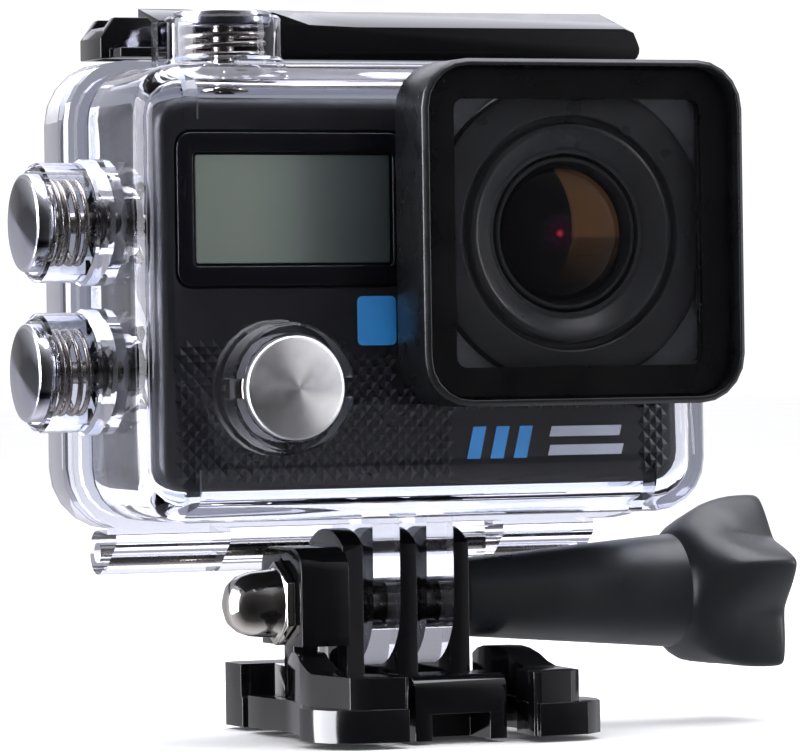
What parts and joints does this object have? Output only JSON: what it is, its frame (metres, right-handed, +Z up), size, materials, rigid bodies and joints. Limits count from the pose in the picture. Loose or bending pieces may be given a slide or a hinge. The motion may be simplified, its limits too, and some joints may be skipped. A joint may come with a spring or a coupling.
{
  "type": "action camera in dive housing",
  "caption": "Compact action camera in a clear latched dive housing with push buttons, on a quick-release buckle held by a long thumbscrew.",
  "frame": {"origin": "on the buckle's underside, below the middle of the thumbscrew joint", "axes": "+X along the thumbscrew towards its knob, -Y out of the lens, +Z up from the buckle to the housing"},
  "size_m": [0.0867, 0.0415, 0.0783],
  "materials": {
    "clear_polycarbonate": "polished clear",
    "window_glass": "polished",
    "lens_glass": "coated, warm reflection",
    "gloss_black": "high gloss moulding",
    "matt_black": "fine matt moulding",
    "camera_body": "satin with a fine knurl",
    "seal_rubber": "matt",
    "chrome": "polished",
    "spring_steel": "drawn wire",
    "display": "reflective liquid crystal",
    "circuit_board": "solder mask",
    "battery_wrap": "shrink wrap"
  },
  "bodies": {
    "buckle": {"buckle_body": "gloss_black", "acorn_nut": "chrome"},
    "arm_left": {"buckle_arm_left": "gloss_black"},
    "arm_right": {"buckle_arm_right": "gloss_black"},
    "thumbscrew": {"thumbscrew_handle": "matt_black", "thumbscrew_bolt": "spring_steel"},
    "housing": {"front_shell": "clear_polycarbonate", "door_seal": "seal_rubber", "lens_frame": "gloss_black", "lens_window": "window_glass", "window_seal": "seal_rubber", "hinge_pin": "spring_steel", "latch_bracket": "gloss_black", "latch_pin": "spring_steel", "mode_o_ring": "seal_rubber", "shutter_o_ring": "seal_rubber", "up_o_ring": "seal_rubber", "down_o_ring": "seal_rubber", "mode_spring": "spring_steel", "shutter_spring": "spring_steel", "up_spring": "spring_steel", "down_spring": "spring_steel", "front_cover": "camera_body", "rear_cover": "camera_body", "battery_door": "camera_body", "display_bezel": "gloss_black", "display_panel": "display", "rear_screen": "window_glass", "lens_surround": "gloss_black", "lens_barrel": "matt_black", "lens_front_element": "lens_glass", "lens_inner_element": "lens_glass", "sensor_board": "circuit_board", "main_board": "circuit_board", "battery": "battery_wrap"},
    "door": {"rear_door": "clear_polycarbonate"},
    "latch": {"latch_lever": "gloss_black"},
    "mode_plunger": {"mode_cap": "chrome", "mode_stem": "spring_steel", "mode_clip": "spring_steel"},
    "shutter_plunger": {"shutter_cap": "chrome", "shutter_stem": "spring_steel", "shutter_clip": "spring_steel"},
    "up_plunger": {"up_cap": "chrome", "up_stem": "spring_steel", "up_clip": "spring_steel"},
    "down_plunger": {"down_cap": "chrome", "down_stem": "spring_steel", "down_clip": "spring_steel"},
    "mode_key": {"mode_button": "camera_body"},
    "shutter_key": {"shutter_button": "camera_body"},
    "up_key": {"up_button": "camera_body"},
    "down_key": {"down_button": "camera_body"}
  },
  "joints": [
    {"name": "arm_left_squeeze", "type": "hinge", "parent": "buckle", "child": "arm_left", "pos_m": [-0.0115, 0.0085, 0.0035], "axis": [0, 0, 1], "range_deg": [0, 3.5], "stiffness_Nm_per_rad": 2},
    {"name": "arm_right_squeeze", "type": "hinge", "parent": "buckle", "child": "arm_right", "pos_m": [0.0115, 0.0085, 0.0035], "axis": [0, 0, -1], "range_deg": [0, 3.5], "stiffness_Nm_per_rad": 2},
    {"name": "thumbscrew_turn", "type": "hinge", "parent": "buckle", "child": "thumbscrew", "pos_m": [0, 0, 0.014], "axis": [1, 0, 0], "continuous": true},
    {"name": "housing_tilt", "type": "hinge", "parent": "buckle", "child": "housing", "pos_m": [0, 0, 0.014], "axis": [1, 0, 0], "range_deg": [-55, 55]},
    {"name": "door_swing", "type": "hinge", "parent": "housing", "child": "door", "pos_m": [0, 0.0093, 0.0196], "axis": [-1, 0, 0], "range_deg": [0, 95]},
    {"name": "latch_lift", "type": "hinge", "parent": "housing", "child": "latch", "pos_m": [-0.0266, 0.01, 0.0749], "axis": [0, -1, 0], "range_deg": [0, 100]},
    {"name": "mode_press", "type": "slide", "parent": "housing", "child": "mode_plunger", "axis": [0, 1, 0], "range_m": [0, 0.0012], "stiffness_N_per_m": 400, "springref_m": -0.001, "deforming": ["mode_spring"]},
    {"name": "shutter_press", "type": "slide", "parent": "housing", "child": "shutter_plunger", "axis": [0, 0, -1], "range_m": [0, 0.0014], "stiffness_N_per_m": 400, "springref_m": -0.001, "deforming": ["shutter_spring"]},
    {"name": "up_press", "type": "slide", "parent": "housing", "child": "up_plunger", "axis": [1, 0, 0], "range_m": [0, 0.0016], "stiffness_N_per_m": 400, "springref_m": -0.001, "deforming": ["up_spring"]},
    {"name": "down_press", "type": "slide", "parent": "housing", "child": "down_plunger", "axis": [1, 0, 0], "range_m": [0, 0.0016], "stiffness_N_per_m": 400, "springref_m": -0.001, "deforming": ["down_spring"]},
    {"name": "mode_key_press", "type": "slide", "parent": "housing", "child": "mode_key", "axis": [0, 1, 0], "range_m": [0, 0.000564]},
    {"name": "shutter_key_press", "type": "slide", "parent": "housing", "child": "shutter_key", "axis": [0, 0, -1], "range_m": [0, 0.000658]},
    {"name": "up_key_press", "type": "slide", "parent": "housing", "child": "up_key", "axis": [1, 0, 0], "range_m": [0, 0.000752]},
    {"name": "down_key_press", "type": "slide", "parent": "housing", "child": "down_key", "axis": [1, 0, 0], "range_m": [0, 0.000752]}
  ],
  "couplings": [
    {"joint": "mode_key_press", "follows": "mode_press", "ratio": 0.47},
    {"joint": "shutter_key_press", "follows": "shutter_press", "ratio": 0.47},
    {"joint": "up_key_press", "follows": "up_press", "ratio": 0.47},
    {"joint": "down_key_press", "follows": "down_press", "ratio": 0.47}
  ]
}
